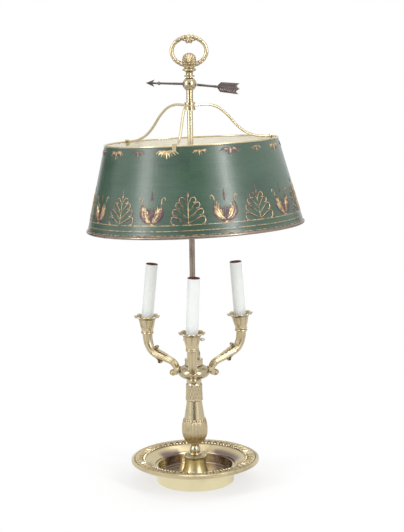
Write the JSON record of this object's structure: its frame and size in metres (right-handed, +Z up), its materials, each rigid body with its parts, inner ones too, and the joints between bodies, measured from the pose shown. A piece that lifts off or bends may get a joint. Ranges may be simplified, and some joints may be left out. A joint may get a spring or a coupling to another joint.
{
  "type": "bouillotte lamp",
  "caption": "Brass candelabra table lamp with a dish foot, scrolled candle arms and a painted metal cone shade that slides and turns on its rod.",
  "frame": {"origin": "centre of the felt face under the foot", "axes": "+Z up along the rod; the front arm points along -Y; +X to the viewer's right"},
  "size_m": [0.3663, 0.3663, 0.7652],
  "materials": {
    "gilt_brass": "satin antique gilt with darker recesses",
    "bronzed_brass": "darker bronzed brass, satin",
    "dark_brass": "darkened cast brass",
    "iron": "rough cast",
    "cover_steel": "black painted sheet steel",
    "felt": "green felt",
    "plated_steel": "yellow zinc plated",
    "candle_white": "cool white, smooth, slightly matt",
    "socket_brown": "dark red-brown phenolic",
    "socket_brass": "bright screw shell",
    "lead_cover": "insulated lead",
    "bushing_brown": "dark plastic",
    "shade_green": "satin dark green paint outside, cream paint inside",
    "gilt_trim": "bright gilt"
  },
  "bodies": {
    "stand": {"arm_front": "gilt_brass", "arm_hub": "gilt_brass", "arm_leads": "lead_cover", "arm_left": "gilt_brass", "arm_nipples": "plated_steel", "arm_right": "gilt_brass", "base_nut": "plated_steel", "base_washer": "plated_steel", "base_weight": "iron", "bottom_cover": "cover_steel", "candle_cup_front": "gilt_brass", "candle_cup_left": "gilt_brass", "candle_cup_right": "gilt_brass", "candle_nipples": "plated_steel", "candle_sleeve_front": "candle_white", "candle_sleeve_left": "candle_white", "candle_sleeve_right": "candle_white", "column_cap": "gilt_brass", "column_shaft": "gilt_brass", "cord_bushing": "bushing_brown", "cover_screws": "plated_steel", "cup_nuts": "plated_steel", "dish_base": "gilt_brass", "felt_pad": "felt", "finial_neck": "gilt_brass", "foot_ring": "gilt_brass", "hub_neck": "gilt_brass", "leaf_sleeve": "gilt_brass", "leaf_vase": "gilt_brass", "neck_knop": "gilt_brass", "ring_handle": "gilt_brass", "shade_rod": "bronzed_brass", "socket_body_front": "socket_brown", "socket_body_left": "socket_brown", "socket_body_right": "socket_brown", "socket_shell_front": "socket_brass", "socket_shell_left": "socket_brass", "socket_shell_right": "socket_brass", "socket_strap_front": "plated_steel", "socket_strap_left": "plated_steel", "socket_strap_right": "plated_steel", "socle": "gilt_brass", "socle_collar": "dark_brass", "switch_body": "socket_brown", "switch_housing": "gilt_brass", "tie_tube": "plated_steel"},
    "carrier": {"carrier_ball": "bronzed_brass", "carrier_tube": "gilt_brass", "arrow_point": "bronzed_brass"},
    "clamp_shoe": {"clamp_shoe": "gilt_brass"},
    "arrow_key": {"arrow_key": "bronzed_brass"},
    "shade": {"spider_collar": "gilt_brass", "spoke_front": "gilt_brass", "spoke_right": "gilt_brass", "spoke_left": "gilt_brass", "rim_clips": "gilt_trim", "shade_cone": "shade_green", "shade_top_wire": "gilt_trim", "shade_bottom_roll": "shade_green"},
    "switch_key": {"switch_key": "gilt_brass"}
  },
  "joints": [
    {"name": "shade_slide", "type": "slide", "parent": "stand", "child": "carrier", "axis": [0, 0, 1], "range_m": [-0.18, 0]},
    {"name": "clamp_travel", "type": "slide", "parent": "carrier", "child": "clamp_shoe", "axis": [0.9942, 0, -0.108], "range_m": [0, 0.0007]},
    {"name": "key_turn", "type": "hinge", "parent": "clamp_shoe", "child": "arrow_key", "pos_m": [0, 0, 0.6828], "axis": [0.9942, 0, -0.108], "range_deg": [0, 361]},
    {"name": "shade_turn", "type": "hinge", "parent": "carrier", "child": "shade", "pos_m": [0, 0, 0.6475], "axis": [0, 0, 1], "continuous": true},
    {"name": "switch_turn", "type": "hinge", "parent": "stand", "child": "switch_key", "pos_m": [0, 0, 0.2493], "axis": [1, 0, 0], "range_deg": [0, 90]}
  ],
  "couplings": [
    {"joint": "key_turn", "follows": "clamp_travel", "rad_per_m": 8976}
  ]
}
